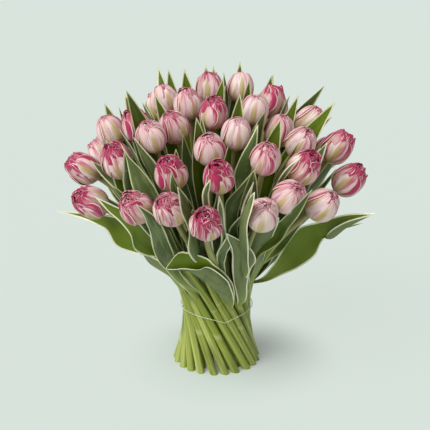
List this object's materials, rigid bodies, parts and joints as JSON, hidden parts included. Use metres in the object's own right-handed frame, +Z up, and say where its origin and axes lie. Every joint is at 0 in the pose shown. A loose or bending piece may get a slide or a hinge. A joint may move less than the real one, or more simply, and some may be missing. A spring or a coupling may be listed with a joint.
{
  "type": "hand-tied bunch of double tulips",
  "caption": "Hand-tied spiral bunch of double tulips with cream and crimson flamed blooms and pale-edged leaves, standing on its own cut stem ends.",
  "frame": {"origin": "on the surface that the cut ends stand on, under the middle of the bunch's outer box", "axes": "+Z up along the bunch, -Y towards the front of the bunch as pictured, +X to its right"},
  "size_m": [0.3828, 0.3754, 0.3803],
  "materials": {
    "petals": "soft satin petals, cream flamed with rose and crimson",
    "leaves": "waxy blue-green leaves with cream margins on yellow-green stems",
    "tie_cord": "thin clear cord"
  },
  "bodies": {
    "root": {"bloom_01": "petals", "bloom_02": "petals", "bloom_03": "petals", "bloom_04": "petals", "bloom_05": "petals", "bloom_06": "petals", "bloom_07": "petals", "bloom_08": "petals", "bloom_09": "petals", "bloom_10": "petals", "bloom_11": "petals", "bloom_12": "petals", "bloom_13": "petals", "bloom_14": "petals", "bloom_15": "petals", "bloom_16": "petals", "bloom_17": "petals", "bloom_18": "petals", "bloom_19": "petals", "bloom_20": "petals", "bloom_21": "petals", "bloom_22": "petals", "bloom_23": "petals", "bloom_24": "petals", "bloom_25": "petals", "bloom_26": "petals", "bloom_27": "petals", "bloom_28": "petals", "bloom_29": "petals", "bloom_30": "petals", "bloom_31": "petals", "bloom_32": "petals", "bloom_33": "petals", "bloom_34": "petals", "bloom_35": "petals", "bloom_36": "petals", "bloom_37": "petals", "bloom_38": "petals", "bloom_39": "petals", "bloom_40": "petals", "bloom_41": "petals", "bloom_42": "petals", "rim_stems_1": "leaves", "rim_stems_2": "leaves", "rim_stems_3": "leaves", "rim_stems_4": "leaves", "rim_stems_5": "leaves", "rim_stems_6": "leaves", "rim_stems_7": "leaves", "core_stems_1": "leaves", "core_stems_2": "leaves", "core_stems_3": "leaves", "core_stems_4": "leaves", "core_stems_5": "leaves", "core_stems_6": "leaves", "core_stems_7": "leaves", "tie": "tie_cord"}
  },
  "joints": []
}
